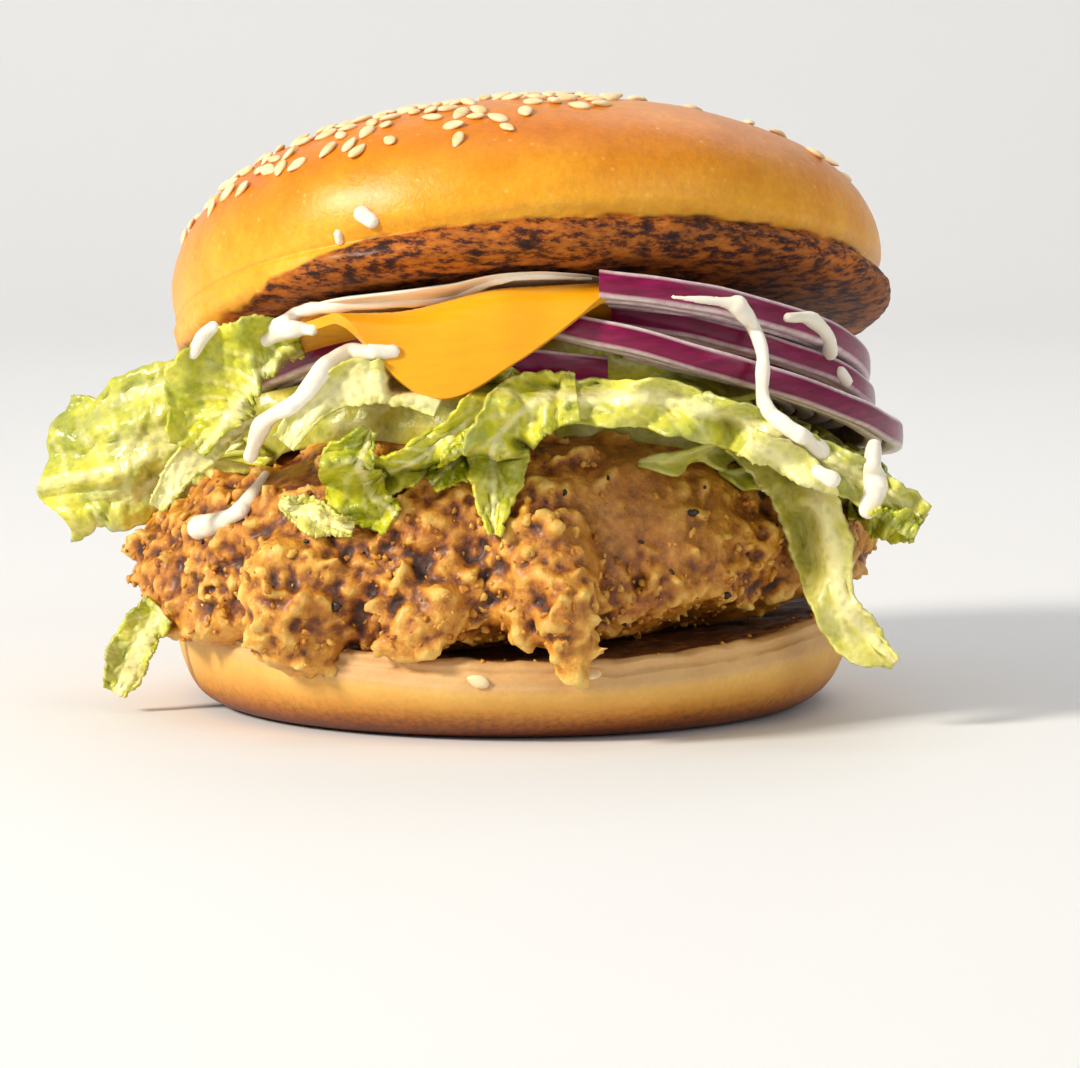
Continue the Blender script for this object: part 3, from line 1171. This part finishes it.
def leafMaterial():
    if leafMade:
        return leafMade[0]
    made, tree, shader = newMaterial("crispLettuce", Roughness=0.32)
    shader.inputs["Subsurface Weight"].default_value = 0.12
    shader.inputs["Subsurface Radius"].default_value = (0.002, 0.003, 0.0004)
    shader.inputs["Coat Weight"].default_value = 0.25
    shader.inputs["Coat Roughness"].default_value = 0.2
    green = ramp(tree, noiseOf(tree, 8, 5, 0.65), (0.32, (0.13, 0.18, 0.002)), (0.46, (0.38, 0.42, 0.004)),
                 (0.58, (0.62, 0.60, 0.014)), (0.75, (0.78, 0.70, 0.07)))
    light = ramp(tree, noiseOf(tree, 5, 4, 0.6), (0.35, (0.62, 0.58, 0.09)), (0.65, (0.80, 0.74, 0.30)))
    blade = mix(tree, painted(tree, "pale"), green, light)
    whole = mix(tree, maths(tree, "MULTIPLY", painted(tree, "rib"), 0.85), blade, (0.85, 0.79, 0.38))
    cells = cellsOf(tree, 1.5)
    lines = ramp(tree, cells, (0.1, 0.80), (0.5, 1.05))
    colourOf(tree, shader, mix(tree, 0.8, whole, lines, "MULTIPLY"))
    bumps(tree, shader, (cells, 0.4, 0.3), (noiseOf(tree, 2.6, 4, 0.6), 0.5, 0.7))
    leafMade.append(made)
    return made


def makeLettuce():
    makeBedCore()
    makeShreds()
    makeBigLeaf()
    behind = ["friedFillet", "lettuceHeap", "lettuceShreds", "bunHeel"]
    behind += [name for name in pieces if name.startswith("onion_")]
    for nodeName, leaf in leaves.items():
        layLeaf(nodeName, leaf, behind)
        behind.append(nodeName + "Leaf")
    print("lettuce leaves made")


# Sauce drips: tubes along a route in the front view, melted together with their blobs

drips = [
    {"route": [(-17, 57.8), (-22, 57.4), (-26.4, 56), (-30.8, 50.8), (-36, 47.1), (-38.4, 41.5)],
     "radii": (1.1, 1.5, 1.6, 1.35, 1.5, 1.2)},
    {"route": [(-36.5, 38), (-39.7, 33.4), (-43.3, 31), (-46.6, 29.6)], "radii": (0.7, 1.4, 1.5, 1.9)},
    {"route": [(33.5, 64.2), (35.8, 61), (37.2, 57), (37.2, 50.5), (40, 47.4), (43.2, 45.4), (45.6, 43.3)],
     "radii": (1.7, 1.3, 1.15, 1.25, 1.3, 1.4, 1.5)},
    {"route": [(41, 62), (44.5, 61.6), (47.4, 58.6), (47.8, 56)], "radii": (0.8, 1.2, 1.2, 1.3)},
    {"route": [(53.4, 44), (53, 41), (53.6, 38), (52.4, 35)], "radii": (1.1, 1.6, 1.9, 1.5)},
    {"route": [(45, 40.6), (47, 39.6)], "radii": (1.2, 1.4)},
    {"route": [(-46.8, 56.5), (-45.5, 59), (-43.8, 60.6)], "radii": (0.8, 1.3, 0.9)},
    {"route": [(-36, 58.5), (-33, 60.2), (-29, 60.4)], "radii": (1.2, 1.5, 1.0)},
    {"route": [(-34.5, 60.5), (-29.3, 63.2), (-19, 64.2), (-8.7, 64.9), (0.1, 68.3), (11.9, 67.8)],
     "radii": (1.3, 1.15, 0.95, 0.95, 0.8, 0.55)},
    {"route": [(24, 65.6), (30, 64.9), (34, 64.2)], "radii": (0.5, 0.8, 1.1)},
    {"route": [(49.5, 53), (50.5, 51.5)], "radii": (1.0, 1.1)},
    {"route": [(-21.6, 77.6), (-20.2, 76.6)], "radii": (1.4, 1.1)},
    {"route": [(-25.2, 74.6), (-25.0, 73.4)], "radii": (0.9, 0.8)},
]


def makeDrips():
    beads = []
    behind = [name for name in pieces if name != "sesameSeeds"]
    for drip in drips:
        route = [(x, 0, z) for x, z in drip["route"]]
        radii = [(r, 0, 0) for r in drip["radii"]]
        length = sum((Vector(b) - Vector(a)).length for a, b in zip(route, route[1:]))
        count = max(4, round(length / 0.45))
        steps = [i / count for i in range(count + 1)]
        hits = [firstHit(Vector((along(route, t).x, -200, along(route, t).z)) * mm, Vector((0, 1, 0)), behind)
                for t in steps]
        walls = [hit[0].y / mm if hit else None for hit in hits]
        for i, share in enumerate(steps):
            # the thread hangs in front of the nearest things, and eases back between them
            known = [wall + 0.5 * abs(i - j) for j, wall in enumerate(walls) if wall is not None]
            if not known:
                continue
            here = along(route, share)
            size = along(radii, share).x * (1 + 0.22 * noise.noise(here * 0.45))
            beads.append(Matrix.Translation(Vector((here.x, min(known) - 0.2 * size, here.z)) * mm)
                         @ Matrix.Diagonal((size, size * 0.7, size, 1)))
    deselectAll()
    bpy.ops.mesh.primitive_ico_sphere_add(subdivisions=2, radius=mm)
    made = scatter("sauceDrips", bpy.context.object, beads)
    applyModifier(made, "REMESH", mode="VOXEL", voxel_size=0.32 * mm)
    applyModifier(made, "SMOOTH", iterations=5, factor=0.6)
    smoothShade(made)
    made.data.materials.append(sauceMaterial())
    finishPiece(made, "sauceDrips")
    print("sauce drips made")


# Floor, backdrop and light

studio = {"floorLevel": -0.15, "halfWidth": 3.0, "front": -1.6, "back": 0.75, "sweep": 0.5,
          "keyPower": 23, "fillPower": 3.5, "backPower": 1.2, "wallPower": 4.5, "world": 0.40}


def makeStudio():
    deselectAll()
    bpy.ops.mesh.primitive_plane_add(size=2)
    floor = bpy.context.object
    floor.name = "floorSweep"
    level = studio["floorLevel"] * mm
    middle = (studio["front"] + studio["back"]) / 2
    sculpt(floor, lambda p: Vector((p.x * studio["halfWidth"],
                                    middle + p.y * (studio["back"] - studio["front"]) / 2, level)))
    bpy.ops.object.mode_set(mode="EDIT")
    bpy.ops.mesh.select_mode(type="EDGE")
    bpy.ops.mesh.select_all(action="DESELECT")
    bpy.ops.object.mode_set(mode="OBJECT")
    for edge in floor.data.edges:
        ends = [floor.data.vertices[i].co.y for i in edge.vertices]
        edge.select = min(ends) > studio["back"] - 0.001
    bpy.ops.object.mode_set(mode="EDIT")
    bends = 16
    for i in range(bends):
        low, high = (math.radians(90 * k / bends) for k in (i, i + 1))
        step = (0, studio["sweep"] * (math.sin(high) - math.sin(low)), studio["sweep"] * (math.cos(low) - math.cos(high)))
        bpy.ops.mesh.extrude_region_move(TRANSFORM_OT_translate={"value": step})
    bpy.ops.mesh.extrude_region_move(TRANSFORM_OT_translate={"value": (0, 0, 2.5)})
    bpy.ops.mesh.select_mode(type="VERT")
    bpy.ops.object.mode_set(mode="OBJECT")
    smoothShade(floor)
    made, tree, shader = newMaterial("paleFloor", Roughness=0.7)
    colourOf(tree, shader, ramp(tree, noiseOf(tree, 300, 2, 0.5), (0.3, 0.76), (0.7, 0.78)))
    floor.data.materials.append(made)


def addAreaLight(name, place, size, power, colour, target=(0, 0, 0.045)):
    deselectAll()
    aim = Vector(target) - Vector(place)
    bpy.ops.object.light_add(type="AREA", location=place, rotation=aim.to_track_quat("-Z", "Y").to_euler())
    light = bpy.context.object
    light.name = name
    light.data.size = size
    light.data.energy = power
    light.data.color = colour


def makeLight():
    world = bpy.data.worlds.new("paleRoom")
    bpy.context.scene.world = world
    world.use_nodes = True
    background = world.node_tree.nodes["Background"]
    background.inputs["Color"].default_value = (0.93, 0.96, 1.0, 1)
    background.inputs["Strength"].default_value = studio["world"]
    addAreaLight("keyLight", (-1.05, -0.62, 0.72), 0.28, studio["keyPower"], (1.0, 0.93, 0.82))
    addAreaLight("fillLight", (0.95, -0.9, 0.55), 0.8, studio["fillPower"], (1.0, 0.97, 0.93))
    addAreaLight("backLight", (0.3, 0.55, 0.75), 0.6, studio["backPower"], (1.0, 0.98, 0.95))
    addAreaLight("wallLight", (0, 0.1, 1.4), 1.0, studio["wallPower"], (1.0, 1.0, 1.0), (0, 1.3, 0.6))
    bpy.context.scene.view_settings.view_transform = "Standard"


addCamera()
makeStudio()
makeLight()
makeHeel()
makeCrown()
makeSeeds()
makeFillet()
makeCrumbs()
makePepper()
makeOnions()
makeSpread()
makeCheese()
makeLettuce()
makeDrips()
print("everything is in place")
